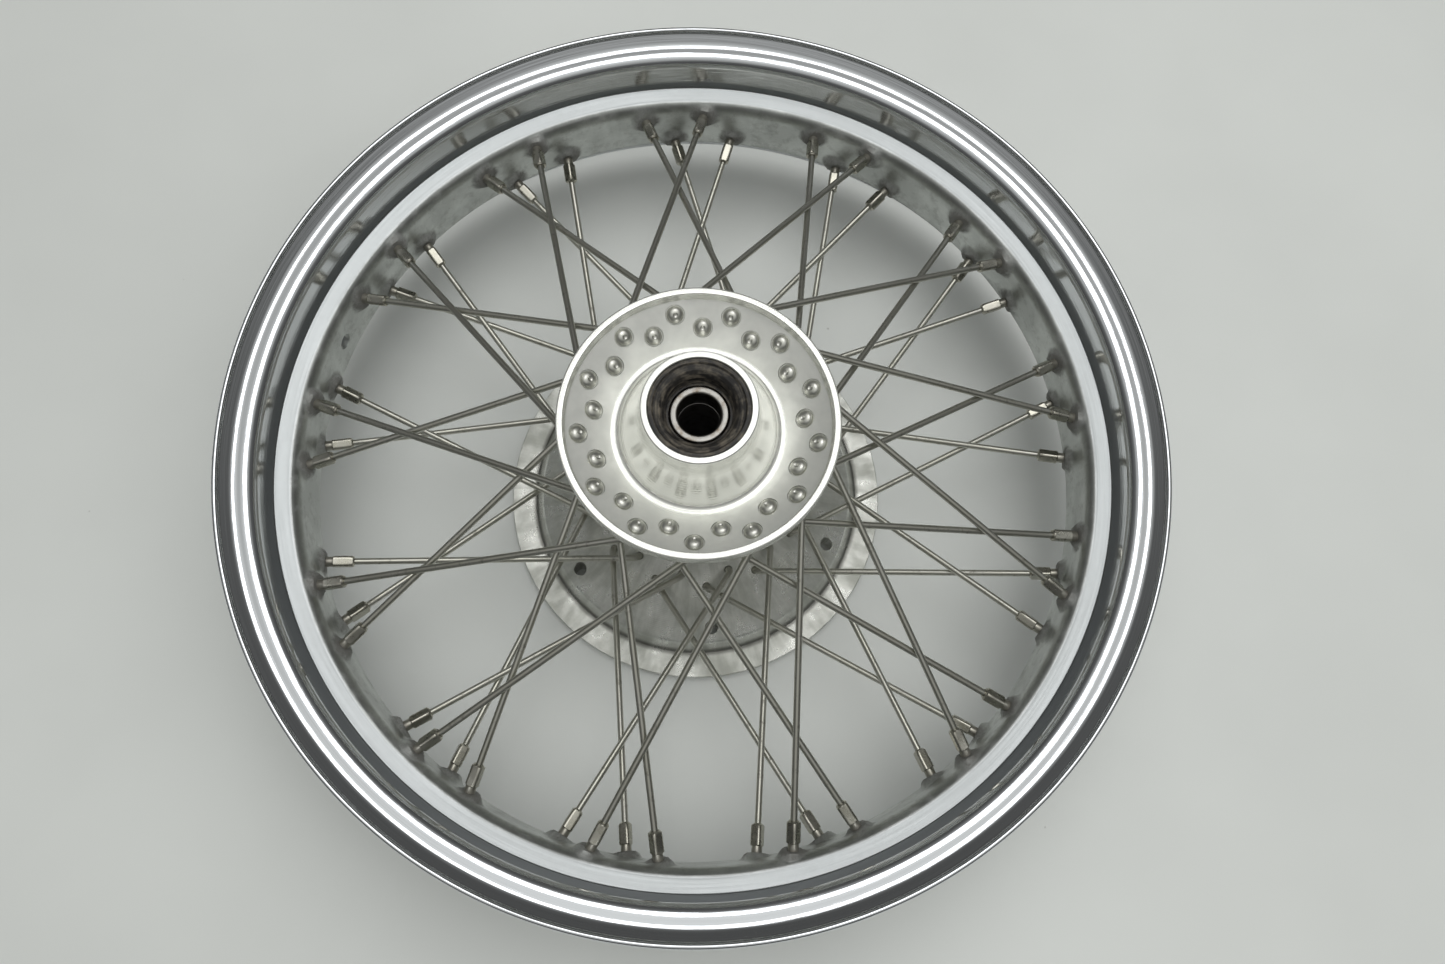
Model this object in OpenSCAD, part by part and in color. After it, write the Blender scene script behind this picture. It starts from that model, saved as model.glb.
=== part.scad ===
// Laced motorcycle wheel, lying flat with its disc side down.
// The axle runs along Z and the origin is where it meets the rim's centre plane.

/* [Rim] */

// Outer diameter of the rim over its lips
rim_d = 461.3; // [380:0.1:560]
// Width between the two tyre flanges
bead_w = 76.2; // [56:0.1:110]
// Height of each tyre flange above the bead seat
flange_h = 13.8; // [10:0.1:18]
// How far each lip curls out beside its flange
lip_out = 8.9; // [6:0.1:14]
// Depth of the well below the bead seat
well_depth = 14.2; // [10:0.1:18]
// Width of the spoke bed between its two shoulders
bed_w = 33; // [29:0.5:40]
// Thickness of the rolled sheet
sheet_t = 2.8; // [2:0.1:3.6]
// Diameter of the valve hole
valve_d = 8.3; // [6:0.1:11.5]

/* [Spokes] */

// Number of spoke groups round the rim, four spokes in each
groups = 13; // [9:1:15]
// Turn of the first group from the X axis, in degrees
first_group = 9.5; // [0:0.01:27]
// Diameter of the straight part of a spoke
spoke_d = 3.3; // [2.6:0.1:4]
// Angle at the rim from a group's middle to its two middle nipples
pair_in = 2.55; // [1.9:0.05:3]
// Angle at the rim from a group's middle to its two end nipples
pair_out = 7.2; // [6:0.05:9]
// Height of the end nipples' holes above the rim's centre plane
row_in = 8.2; // [5:0.1:9]
// Height of the middle nipples' holes above the rim's centre plane
row_out = 10.6; // [9:0.1:12]
// Lean of the spokes from the inner ring, in spacings of one group
lean = 1.13; // [0.9:0.005:1.3]
// Length of a nipple outside the rim bed
nipple_out = 14; // [9:0.5:18]
// Diameter of a nipple's round neck
nipple_d = 5.3; // [5:0.1:6.4]

/* [Hub] */

// Height of the plain side's nose above the rim's centre plane
nose_up = 87; // [72:0.5:110]
// Depth of the disc side's nose below the rim's centre plane
nose_down = 72.3; // [66:0.5:100]
// Outer diameter of both noses
nose_d = 53.6; // [51.5:0.1:62]
// Outer diameter of the plain flange
flange_d = 132.5; // [126:0.5:160]
// Diameter of the outer ring of spoke heads
ring_out_d = 113.2; // [110:0.1:120]
// Diameter of the inner ring of spoke heads
ring_in_d = 100.8; // [96:0.1:104]
// Height of the plain spoke flange's face, midway between the two rings
face_up = 60; // [50:0.5:70]
// Depth of the disc side's spoke flange's face, midway between the two rings
face_down = 47; // [42:0.5:56]
// Slope of the dished spoke flange, in degrees
dish = 28; // [20:0.5:34]
// Thickness of the spoke flange
flange_t = 6; // [5:0.1:7.5]
// Diameter of the barrel between the flanges
barrel_d = 62; // [58:0.5:68]

/* [Brake side] */

// Outer diameter of the thin rim of the disc flange
disc_flange_d = 213.4; // [200:0.1:240]
// Diameter of the disc's seating face, and of the groove above it
disc_seat_d = 187; // [178:0.5:194]
// Diameter of the circle of disc bolts
disc_pcd = 162; // [156:0.1:166]
// Number of disc bolts
disc_bolts = 6; // [3:1:8]
// Diameter of each tapped disc bolt hole
disc_hole_d = 6.8; // [5:0.1:8.5]
// Turn of the first disc bolt from the X axis, in degrees
disc_turn = 37; // [0:0.5:60]

/* [Bearings] */

// Diameter of the wheel axle
axle_d = 20; // [15:0.5:22]
// Outer diameter of each ball bearing
bearing_d = 47; // [44:0.1:48]
// Width of each ball bearing
bearing_w = 14; // [12:0.5:16]
// Balls in each bearing
balls = 8; // [6:1:9]
// Diameter of one ball
ball_d = 7.94; // [6:0.01:8.5]
// Inner diameter of the dust seal's lip
seal_lip_d = 31.4; // [27:0.1:34]

/* [Hidden] */

$fn = 96;

// Colours
chrome = [0.78, 0.79, 0.80];
alloy = [0.80, 0.80, 0.79];
plated = [0.55, 0.54, 0.50];
nickel = [0.72, 0.71, 0.66];
steel = [0.70, 0.71, 0.72];
brass_cage = [0.62, 0.55, 0.38];
black_rubber = [0.07, 0.065, 0.06];

// Rim radii and heights
lip_r = rim_d / 2;
seat_r = lip_r - flange_h;
bed_out_r = seat_r - well_depth;
mid_r = bed_out_r - sheet_t / 2;
bed_r = bed_out_r - sheet_t;
flange_mid_z = bead_w / 2 + sheet_t / 2;
lip_mid_z = bead_w / 2 + lip_out - sheet_t / 2;

// Rim dimples, measured from the middle of the sheet along each nipple's axis
dimple_top = 3.4;
dimple_r = 5.7;
cup_floor = 0.8;
cup_r = 5.0;

// Spoke sizes
neck_d = spoke_d + 0.6;
elbow_d = spoke_d + 0.25;
bend_r = 4;
head_r = 4.1;
seat_sink = 1;
corner_out = 8.4;
corner_in = 11;
spacing = 360 / groups;

// Hub heights
half_bearing = bearing_w / 2;
bearing_gap = 10.5;
seal_gap = 0.8;
disc_face = nose_down + 0.7;
groove_z = -(disc_face - 6.8);
seat_rim = disc_seat_d / 2;
flange_r = flange_d / 2;
barrel_r = barrel_d / 2;
outer_r = bearing_d / 2;
race_r = outer_r - 0.02;
pitch_r = (axle_d / 2 + outer_r) / 2;
up_mid = nose_up - bearing_gap - half_bearing;
down_mid = nose_down - bearing_gap - half_bearing;

// ---- points and paths ----

function unit(v) = v / norm(v);
function pol(r, a, z) = [r * cos(a), r * sin(a), z];

// One rounded corner: an arc of radius f at b, between the lines to a and c.
function corner(a, b, c, f, n) =
    let (u = unit(a - b), v = unit(c - b), h = acos(u * v) / 2)
    f <= 0 || h > 89.5 ? [b] :
    let (m = b + unit(u + v) * f / sin(h), s = b + u * f / tan(h), e = b + v * f / tan(h),
         a0 = atan2(s.y - m.y, s.x - m.x), a1 = atan2(e.y - m.y, e.x - m.x),
         turn = a1 - a0 > 180 ? a1 - a0 - 360 : (a1 - a0 < -180 ? a1 - a0 + 360 : a1 - a0))
    [for (i = [0 : n]) m + f * [cos(a0 + turn * i / n), sin(a0 + turn * i / n)]];

// An open path through points [x, y, corner radius].
function rounded(p, n = 6) = let (k = len(p) - 1)
    [for (i = [0 : k]) each
        (i == 0 || i == k ? [[p[i].x, p[i].y]] :
            corner([p[i-1].x, p[i-1].y], [p[i].x, p[i].y], [p[i+1].x, p[i+1].y], p[i].z, n))];

// A closed outline through points [x, y, corner radius].
function loop(p, n = 6) = let (k = len(p))
    [for (i = [0 : k - 1]) let (a = p[(i + k - 1) % k], b = p[i], c = p[(i + 1) % k]) each
        corner([a.x, a.y], [b.x, b.y], [c.x, c.y], b.z, n)];

// The side of a path, moved by t to its left.
function beside(p, t) = let (k = len(p) - 1)
    [for (i = [0 : k])
        let (u = unit(p[min(i + 1, k)] - p[min(i, k - 1)]), w = unit(p[max(i, 1)] - p[max(i - 1, 0)]),
             m = unit(u + w), c = m * u)
        p[i] + [-m.y, m.x] * t / c];

// A strip of thickness t along a path, with round ends.
function strip(p, t) =
    let (k = len(p) - 1, u = unit(p[k] - p[k-1]), w = unit(p[0] - p[1]))
    concat(beside(p, t / 2),
        [for (a = [75 : -15 : -75]) p[k] + t / 2 * (cos(a) * u + sin(a) * [-u.y, u.x])],
        [for (i = [k : -1 : 0]) beside(p, -t / 2)[i]],
        [for (a = [75 : -15 : -75]) p[0] + t / 2 * (cos(a) * w + sin(a) * [-w.y, w.x])]);

function flip(p) = [for (i = [len(p) - 1 : -1 : 0]) [p[i].x, -p[i].y]];

// ---- where each spoke runs: side 1 is up, -1 is down; ring 0 is inner, 1 is outer ----

function group_a(k) = first_group + k * spacing;
function hub_a(side, ring, k) = group_a(k) + side * spacing * (ring == 0 ? -lean : 2.5 - lean);
function rim_a(side, ring, k) = group_a(k) + side * (ring == 0 ? pair_out : -pair_in);
function ring_r(ring) = (ring == 0 ? ring_in_d : ring_out_d) / 2;
function face_at(side, r) =
    (side > 0 ? face_up : face_down) + (r - (ring_in_d + ring_out_d) / 4) * tan(dish);
function under_at(side, r) = face_at(side, r) - flange_t / cos(dish);
function head_dir(side, ring, k) = pol(sin(dish), hub_a(side, ring, k), -side * cos(dish));
function head_face(side, ring, k) =
    pol(ring_r(ring), hub_a(side, ring, k), side * face_at(side, ring_r(ring)));
function knee(side, ring, k) =
    head_face(side, ring, k) + (ring == 0 ? corner_in : corner_out) * head_dir(side, ring, k);
function rim_point(side, ring, k) =
    pol(mid_r, rim_a(side, ring, k), side * (ring == 0 ? row_in : row_out));
function run_dir(side, ring, k) = unit(rim_point(side, ring, k) - knee(side, ring, k));

// Puts children at p with their Z axis along d.
module along(p, d) {
    translate(p) rotate([0, acos(d.z), atan2(d.y, d.x)]) children();
}

// Puts children at p with their X, Y and Z axes along three unit vectors.
module framed(p, x, y, z) {
    multmatrix([[x.x, y.x, z.x, p.x], [x.y, y.y, z.y, p.y], [x.z, y.z, z.z, p.z], [0, 0, 0, 1]])
        children();
}

// ---- rim ----

half_rim = rounded([
    [mid_r, 0, 0],
    [mid_r, bed_w / 2, 5],
    [seat_r - 4.6, bed_w / 2 + 3.1, 1.7],
    [seat_r - 2.2, flange_mid_z, 4.6],
    [lip_r - 7.4, flange_mid_z, 6.5],
    [lip_r - sheet_t / 2, flange_mid_z + 4.8, 2.4],
    [lip_r - sheet_t / 2, lip_mid_z, 0]], 5);

module rim() color(chrome) difference() {
    union() {
        rotate_extrude($fn = 240)
            polygon(strip(concat(flip([for (i = [1 : len(half_rim) - 1]) half_rim[i]]),
                [for (i = [1 : len(half_rim) - 1]) half_rim[i]]), sheet_t));
        intersection() {
            each_spoke() translate([0, 0, -2.5])
                cylinder(h = 2.5 + dimple_top, r1 = dimple_r + 3.2, r2 = dimple_r, $fn = 48);
            cylinder(h = bed_w + 8, r = mid_r, center = true, $fn = 240);
        }
    }
    each_spoke() {
        translate([0, 0, -14]) cylinder(h = 14 + cup_floor, r = cup_r, $fn = 40);
        cylinder(h = 12, d = nipple_d + 0.2, $fn = 40);
    }
    rotate([0, 0, first_group + 5.5 * spacing]) translate([mid_r - 6, 0, 0]) rotate([0, 90, 0])
        cylinder(h = 12, d = valve_d, $fn = 48);
}

// Children at every nipple hole, Z pointing along the nipple towards the hub.
module each_spoke() for (side = [1, -1], ring = [0, 1], k = [0 : groups - 1])
    along(rim_point(side, ring, k), -run_dir(side, ring, k)) children();

// ---- hub ----

hub_outline = concat(
    // plain side: nose, bell and dish
    [[outer_r, nose_up - 0.6], [outer_r + 0.6, nose_up], [nose_d / 2 - 0.7, nose_up],
     [nose_d / 2, nose_up - 0.7]],
    bell(1, nose_up - 17),
    // raised lip, edge and back of the plain flange, down to the barrel
    rounded([[44.5, face_at(1, 44.5), 0], [flange_r - 3.9, face_at(1, flange_r - 3.9), 1],
        [flange_r - 3.3, face_at(1, flange_r) + 3, 0.5],
        [flange_r, face_at(1, flange_r) + 3, 0.8],
        [flange_r, under_at(1, flange_r) + 0.6, 1.2],
        [barrel_r + 2, under_at(1, barrel_r + 2), 7],
        [barrel_r, under_at(1, barrel_r) - 6, 5],
        [barrel_r, 0, 0]], 5),
    // disc side: cone above the spoke flange, groove, thin edge, seating face and dish
    rounded([[barrel_r, 0, 0],
        [barrel_r, -under_at(-1, barrel_r), 9],
        [seat_rim - 5.5, -under_at(-1, seat_rim - 5.5), 7],
        [seat_rim - 0.6, groove_z, 1.5],
        [disc_flange_d / 2, groove_z, 0.5],
        [disc_flange_d / 2, groove_z - 3, 0.5],
        [seat_rim + 0.8, groove_z - 3, 0.8],
        [seat_rim, -disc_face, 0.5],
        [70.5, -disc_face, 0.6],
        [68.8, -face_at(-1, 67.5), 2],
        [44.5, -face_at(-1, 44.5), 0]], 5),
    flip(bell(-1, nose_down - 11)),
    [[nose_d / 2, -(nose_down - 0.7)], [nose_d / 2 - 0.7, -nose_down], [outer_r + 0.6, -nose_down],
     [outer_r, -(nose_down - 0.6)]],
    // bore: two bearing seats and the hollow between them
    [[outer_r, -(down_mid - half_bearing)], [outer_r - 3, -(down_mid - half_bearing)],
     [outer_r - 3, -(down_mid - half_bearing - 4)], [outer_r + 1, -(down_mid - half_bearing - 9)],
     [outer_r + 1, up_mid - half_bearing - 9], [outer_r - 3, up_mid - half_bearing - 4],
     [outer_r - 3, up_mid - half_bearing], [outer_r, up_mid - half_bearing]]);

// The bell's outside, from just below the nose to the dish.
function bell(side, bend_z) = rounded([[nose_d / 2, (side > 0 ? nose_up : nose_down) - 3, 0],
    [nose_d / 2 + 1, bend_z, 24], [39, face_at(side, 39), 4], [44.5, face_at(side, 44.5), 0]], 5);

module hub() color(alloy) difference() {
    rotate_extrude($fn = 180) polygon(hub_outline);
    for (side = [1, -1], ring = [0, 1], k = [0 : groups - 1])
        along(head_face(side, ring, k), head_dir(side, ring, k)) {
            translate([0, 0, -4]) cylinder(h = 4 + seat_sink, r = head_r + 0.6, $fn = 40);
            cylinder(h = 16, d = neck_d + 0.2, $fn = 32);
        }
    for (k = [0 : disc_bolts - 1]) rotate([0, 0, disc_turn + k * 360 / disc_bolts])
        translate([disc_pcd / 2, 0, -disc_face - 1]) cylinder(h = 26, d = disc_hole_d, $fn = 40);
}

// ---- spokes and nipples ----

module spoke(side, ring, k) {
    a = head_dir(side, ring, k);
    b = run_dir(side, ring, k);
    c = knee(side, ring, k);
    bend = acos(a * b);
    cut = bend_r * tan(bend / 2);
    n = unit(cross(a, b));
    m = cross(n, a);
    reach = (ring == 0 ? corner_in : corner_out) - cut;
    total = norm(rim_point(side, ring, k) - c);
    along(head_face(side, ring, k), a) {
        translate([0, 0, seat_sink]) rotate_extrude($fn = 40) polygon(concat(
            [[0, 0], [head_r, 0], [head_r, -0.7]],
            [for (t = [0 : 12 : 60]) [head_r * cos(t * 1.15), -0.7 - 2.5 * sin(t * 1.5)]],
            [[1.1, -3.2], [0.8, -2.9], [0, -2.8]]));
        translate([0, 0, seat_sink]) cylinder(h = reach - seat_sink + 0.2, d = neck_d, $fn = 32);
    }
    framed(c - a * cut + m * bend_r, -m, a, n)
        rotate_extrude(angle = bend, $fn = 64) translate([bend_r, 0]) circle(d = elbow_d, $fn = 32);
    along(c + b * (cut - 0.2), b) cylinder(h = total - cut + 2, d = spoke_d, $fn = 32);
}

module nipple(side, ring, k) {
    along(rim_point(side, ring, k), -run_dir(side, ring, k)) difference() {
        union() {
            rotate_extrude($fn = 40) polygon([[0, -3], [3.4, -3], [4.4, -1.8], [4.4, cup_floor],
                [nipple_d / 2, cup_floor], [nipple_d / 2, dimple_top + nipple_out - 0.5],
                [nipple_d / 2 - 0.5, dimple_top + nipple_out], [0, dimple_top + nipple_out]]);
            intersection() {
                translate([-2.8, -2.8, dimple_top + nipple_out - 10.6]) cube([5.6, 5.6, 9.8]);
                translate([0, 0, dimple_top + nipple_out - 11]) cylinder(h = 11, r = 3.4, $fn = 48);
            }
        }
        translate([0, 0, -4]) cylinder(h = nipple_out + 12, d = spoke_d + 0.2, $fn = 32);
        translate([-5, -0.6, -4]) cube([10, 1.2, 2]);
    }
}

module spoke_set(side, ring) color(plated) for (k = [0 : groups - 1]) spoke(side, ring, k);
module nipple_set(side, ring) color(nickel) for (k = [0 : groups - 1]) nipple(side, ring, k);

// ---- bearings and seals, drawn about their own middles with the outside up ----

module placed(side) {
    if (side > 0) children();
    else rotate([180, 0, 0]) children();
}
function mid_z(side) = side > 0 ? up_mid : down_mid;
function nose_z(side) = side > 0 ? nose_up : nose_down;

module outer_race(side) color(steel) placed(side) translate([0, 0, mid_z(side)])
    rotate_extrude() difference() {
        polygon([[pitch_r + 3.15, -half_bearing], [race_r - 0.8, -half_bearing],
            [race_r, -half_bearing + 0.8], [race_r, half_bearing - 0.8],
            [race_r - 0.8, half_bearing], [pitch_r + 3.15, half_bearing]]);
        translate([pitch_r, 0]) circle(r = ball_d / 2 + 0.32, $fn = 48);
    }

module inner_race(side) color(steel) placed(side) translate([0, 0, mid_z(side)])
    rotate_extrude() difference() {
        polygon([[axle_d / 2 + 0.5, -half_bearing], [pitch_r - 3.15, -half_bearing],
            [pitch_r - 3.15, half_bearing], [axle_d / 2 + 0.5, half_bearing],
            [axle_d / 2, half_bearing - 0.5], [axle_d / 2, -half_bearing + 0.5]]);
        translate([pitch_r, 0]) circle(r = ball_d / 2 + 0.32, $fn = 48);
    }

module ball_set(side) color(steel) placed(side) translate([0, 0, mid_z(side)])
    for (k = [0 : balls - 1]) rotate([0, 0, k * 360 / balls]) translate([pitch_r, 0, 0])
        sphere(d = ball_d, $fn = 48);

module cage(side) color(brass_cage) placed(side) translate([0, 0, mid_z(side)]) difference() {
    rotate_extrude() translate([pitch_r - 1.2, -5.2]) square([2.4, 10.4]);
    for (k = [0 : balls - 1]) rotate([0, 0, k * 360 / balls]) translate([pitch_r, 0, 0])
        rotate([0, 90, 0]) cylinder(h = 6, r = ball_d / 2 + 0.32, center = true, $fn = 48);
}

module shield(side, out) color(black_rubber) placed(side) translate([0, 0, mid_z(side)])
    rotate_extrude() translate([pitch_r - 2.6, out > 0 ? 5.7 : -6.5]) square([5.7, 0.8]);

module seal_case(side) color(steel) placed(side) translate([0, 0, nose_z(side) - seal_gap])
    rotate_extrude() polygon([[race_r, -1.4], [race_r, -8.2], [18.6, -8.2], [18.6, -7.3],
        [race_r - 1.1, -7.3], [race_r - 1.1, -1.4]]);

module seal_rubber(side) color(black_rubber) placed(side) translate([0, 0, nose_z(side) - seal_gap])
    rotate_extrude() polygon(loop([[race_r, -1.4, 0], [race_r, 0, 0.5], [race_r - 1.9, 0, 0.4],
        [race_r - 2.5, -0.9, 0.4], [18.4, -1.6, 2], [16.9, -2.9, 1.5], [seal_lip_d / 2, -5.2, 0.3],
        [seal_lip_d / 2 + 0.7, -6, 0.2], [17.6, -4.3, 0.5], [18.6, -3.1, 1], [race_r - 1.8, -2.6, 0],
        [race_r - 1.8, -1.4, 0]], 4));

module seal_spring(side) color(steel) placed(side) translate([0, 0, nose_z(side) - seal_gap - 5.7])
    rotate_extrude() translate([18, 0]) circle(r = 0.7, $fn = 24);

module distance_collar() color(steel) translate([0, 0, -(down_mid - half_bearing)])
    rotate_extrude() polygon(loop([[axle_d / 2, 0, 0], [axle_d / 2 + 3.2, 0, 0.5],
        [axle_d / 2 + 3.2, up_mid + down_mid - bearing_w, 0.5],
        [axle_d / 2, up_mid + down_mid - bearing_w, 0]], 2));

// ---- one line for each node ----

rim();
hub();
spoke_set(1, 0);  // spokes_upper_inner_ring
spoke_set(1, 1);  // spokes_upper_outer_ring
spoke_set(-1, 0);  // spokes_lower_inner_ring
spoke_set(-1, 1);  // spokes_lower_outer_ring
nipple_set(1, 0);  // nipples_upper_inner_ring
nipple_set(1, 1);  // nipples_upper_outer_ring
nipple_set(-1, 0);  // nipples_lower_inner_ring
nipple_set(-1, 1);  // nipples_lower_outer_ring
outer_race(1);  // upper_bearing_outer_race
inner_race(1);  // upper_bearing_inner_race
ball_set(1);  // upper_bearing_balls
cage(1);  // upper_bearing_cage
shield(1, 1);  // upper_bearing_outer_shield
shield(1, -1);  // upper_bearing_inner_shield
seal_case(1);  // upper_seal_case
seal_rubber(1);  // upper_seal_rubber
seal_spring(1);  // upper_seal_spring
outer_race(-1);  // lower_bearing_outer_race
inner_race(-1);  // lower_bearing_inner_race
ball_set(-1);  // lower_bearing_balls
cage(-1);  // lower_bearing_cage
shield(-1, 1);  // lower_bearing_outer_shield
shield(-1, -1);  // lower_bearing_inner_shield
seal_case(-1);  // lower_seal_case
seal_rubber(-1);  // lower_seal_rubber
seal_spring(-1);  // lower_seal_spring
distance_collar();
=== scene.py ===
import math

import bpy
import numpy as np
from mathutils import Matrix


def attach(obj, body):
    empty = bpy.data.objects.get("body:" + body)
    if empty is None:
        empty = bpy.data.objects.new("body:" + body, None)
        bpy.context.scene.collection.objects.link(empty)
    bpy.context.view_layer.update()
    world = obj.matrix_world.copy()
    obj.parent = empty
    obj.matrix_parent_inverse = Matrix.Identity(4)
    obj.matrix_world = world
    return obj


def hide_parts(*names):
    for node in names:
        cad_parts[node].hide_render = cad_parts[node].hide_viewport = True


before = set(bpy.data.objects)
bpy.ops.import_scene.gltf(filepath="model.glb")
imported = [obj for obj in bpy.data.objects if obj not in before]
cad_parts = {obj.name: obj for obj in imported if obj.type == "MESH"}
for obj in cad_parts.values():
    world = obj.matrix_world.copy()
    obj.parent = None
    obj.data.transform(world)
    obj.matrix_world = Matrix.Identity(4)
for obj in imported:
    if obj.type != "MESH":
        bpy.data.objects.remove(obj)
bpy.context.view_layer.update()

bl_info = {
    "name": "Laced Motorcycle Wheel",
    "version": (1, 0, 0),
    "blender": (4, 5, 0),
    "location": "View3D > Sidebar > Wheel",
    "description": "Dresses the packed wheel: chromed rim, spokes, nipples, turned hub and seals",
    "category": "Add Mesh",
}

# Lengths in the shapes below are millimetres and angles are radians; meshes are made in metres.
MM = 0.001
GROUPS = 13
PITCH = 2 * math.pi / GROUPS
DISH = math.radians(28)
RING_R = (50.4, 56.6)
CORNER = (11.0, 8.4)
ROW = (8.2, 10.6)
FACE = {1: 60.0, -1: 47.0}
FLANGE_T = 6.0
UP, DOWN = 1, -1
NOSE = {UP: 87.0, DOWN: 72.3}
BEARING_Z = {UP: 69.5, DOWN: 54.8}
SIDE_NAME = {UP: "upper", DOWN: "lower"}
RING_NAME = ("inner", "outer")
FIRST_GROUP = math.radians(9.5)  # bearing of the first group of four spokes
LEAN = 1.13  # how far a spoke's hub end stands off its group, in groups
VALVE_TURN = FIRST_GROUP + 5.5 * PITCH
GROOVE_Z = -66.2  # face of the thin edge round the disc side
SEAT_Z = -73.0  # seat of the brake disc
BOLT_R = 81.0
BOLT_TURN = math.radians(37)
FROM_MIDDLE = (math.radians(7.2), math.radians(-2.55))  # nipples off their group's middle, by ring
BED_FACES = (199.85, 202.65)  # radii of the spoke bed's two skins
BED_MIDDLE = 201.25
FLOOR_Z = -0.0732
CAMERA_PLACE = (-0.0021, -0.1551, 0.5319)
CAMERA_TURN = (math.radians(15.12), math.radians(-1.85), math.radians(0.76))


# ---- sizes and finishes a user may change ----


def length(name, text, mm):
    return bpy.props.FloatProperty(
        name=name, description=text, default=mm * MM, min=0,
        unit="LENGTH", subtype="DISTANCE", precision=5
    )


def colour(name, text, rgb):
    return bpy.props.FloatVectorProperty(
        name=name, description=text, default=rgb, size=3, min=0, max=1, subtype="COLOR"
    )


def share(name, text, value):
    return bpy.props.FloatProperty(
        name=name, description=text, default=value, min=0, max=1, subtype="FACTOR"
    )


class WheelSizes(bpy.types.PropertyGroup):
    lip_radius: length("Rim radius", "Radius of the rim over its lips", 230.65)
    sheet: length("Rim sheet", "Thickness of the rolled rim sheet", 2.8)
    dimple_radius: length("Dimple radius", "Radius of the flat pressed round each nipple", 5.7)
    valve_hole: length("Valve hole", "Diameter of the valve hole", 8.3)
    spoke: length("Spoke diameter", "Diameter of a spoke's straight part", 3.3)
    spoke_head: length("Spoke head", "Radius of a spoke's head", 4.1)
    nipple_neck: length("Nipple neck", "Diameter of a nipple's round neck", 5.3)
    nipple_flats: length("Nipple flats", "Width across a nipple's square flats", 5.6)
    flange_radius: length("Plain flange radius", "Outer radius of the plain spoke flange", 66.25)
    disc_flange_radius: length("Disc flange radius", "Outer radius of the disc flange", 106.7)
    disc_hole: length("Disc bolt hole", "Diameter of each tapped disc bolt hole", 6.8)


class WheelFinish(bpy.types.PropertyGroup):
    chrome: colour("Chrome", "Colour of the chromed rim", (0.80, 0.82, 0.85))
    alloy: colour("Alloy", "Colour of the turned hub", (0.88, 0.885, 0.84))
    plating: colour("Spoke plating", "Colour of the plated spokes", (0.54, 0.535, 0.46))
    nickel: colour("Nickel", "Colour of the plated nipples", (0.42, 0.41, 0.33))
    steel: colour("Steel", "Colour of the ground bearing steel", (0.66, 0.67, 0.68))
    rubber: colour("Seal rubber", "Colour of the black seals", (0.018, 0.017, 0.016))
    grime: colour("Grime", "Colour of the dirt round the nipples and seals", (0.045, 0.036, 0.026))
    floor: colour("Floor", "Colour of the pale floor", (0.66, 0.68, 0.655))
    dirt: share("Dirt", "How much dirt lies in the spoke bed and on the seals", 0.7)


# ---- shapes as arrays ----


def unit(v):
    return v / np.linalg.norm(v, axis=-1, keepdims=True)


def polar(r, a, z):
    """Points at radius r, turned by a about the axle, at height z."""
    r, a, z = np.broadcast_arrays(r, a, z)
    return np.stack([r * np.cos(a), r * np.sin(a), z], -1)


def rounded(corners, steps):
    """An open path through corners (x, y, fillet radius): each corner gives an arc that touches
    both of its lines, at a distance radius / tan(half the angle between them) along each."""
    path = [np.array([corners[0][:2]], float)]
    for before, here, after in zip(corners, corners[1:], corners[2:]):
        b, radius = np.array(here[:2], float), here[2]
        u, v = unit(np.array(before[:2]) - b), unit(np.array(after[:2]) - b)
        half = math.acos(np.clip(u @ v, -1, 1)) / 2
        if radius <= 0 or half > math.radians(89.5):
            path.append(b[None])
            continue
        middle = b + unit(u + v) * radius / math.sin(half)
        start, end = (b + w * radius / math.tan(half) - middle for w in (u, v))
        a0 = math.atan2(start[1], start[0])
        turn = math.remainder(math.atan2(end[1], end[0]) - a0, 2 * math.pi)
        a = a0 + turn * np.linspace(0, 1, steps + 1)
        path.append(middle + radius * np.stack([np.cos(a), np.sin(a)], -1))
    path.append(np.array([corners[-1][:2]], float))
    return np.concatenate(path)


def held(path, gap):
    """The path with a point added at gap from both ends of every longer line, so that the shading of
    a straight run stays straight beside a rounded corner."""
    out = [path[:1]]
    for a, b in zip(path, path[1:]):
        far = np.linalg.norm(b - a)
        step = unit(b - a) * gap
        out.append(np.array([a + step, b - step, b]) if far > 4 * gap else b[None])
    return np.concatenate(out)


def beside(path, distance):
    """The path moved sideways: each point goes along the mean normal of the lines that meet there,
    divided by the cosine of half their bend so that the gap stays even."""
    ahead = unit(np.diff(path, axis=0))
    before, after = np.vstack([ahead[:1], ahead]), np.vstack([ahead, ahead[-1:]])
    mean = unit(before + after)
    stretch = np.sum(mean * after, -1, keepdims=True)
    return path + distance * np.stack([-mean[:, 1], mean[:, 0]], -1) / stretch


def smooth_top(a, b, width):
    """The larger of two heights, blended over width where they are nearly equal."""
    share_b = np.clip(0.5 + (b - a) / (2 * width), 0, 1)
    return a + (b - a) * share_b + width * share_b * (1 - share_b)


def ramp(x, low, high):
    """0 below low, 1 above high, and smooth between."""
    t = np.clip((x - low) / (high - low), 0, 1)
    return t * t * (3 - 2 * t)


def lacing(side, ring):
    """Heads, head directions, knees, rim points and runs of thirteen spokes. A spoke leaves its head
    square to the dished flange, turns at its knee, and runs straight to its place in the rim bed."""
    group = FIRST_GROUP + PITCH * np.arange(GROUPS)
    hub = group + side * PITCH * (2.5 - LEAN if ring else -LEAN)
    rim = group + side * FROM_MIDDLE[ring]
    r = RING_R[ring]
    away = polar(math.sin(DISH), hub, -side * math.cos(DISH))
    head = polar(r, hub, side * flange_face(side, r))
    knee = head + CORNER[ring] * away
    seat = polar(BED_MIDDLE, rim, side * ROW[ring])
    return head, away, knee, seat, unit(seat - knee)


def flange_face(side, r):
    """Height of a spoke flange's dished face above the rim's centre plane at radius r."""
    return FACE[side] + (r - 53.5) * math.tan(DISH)


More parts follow.
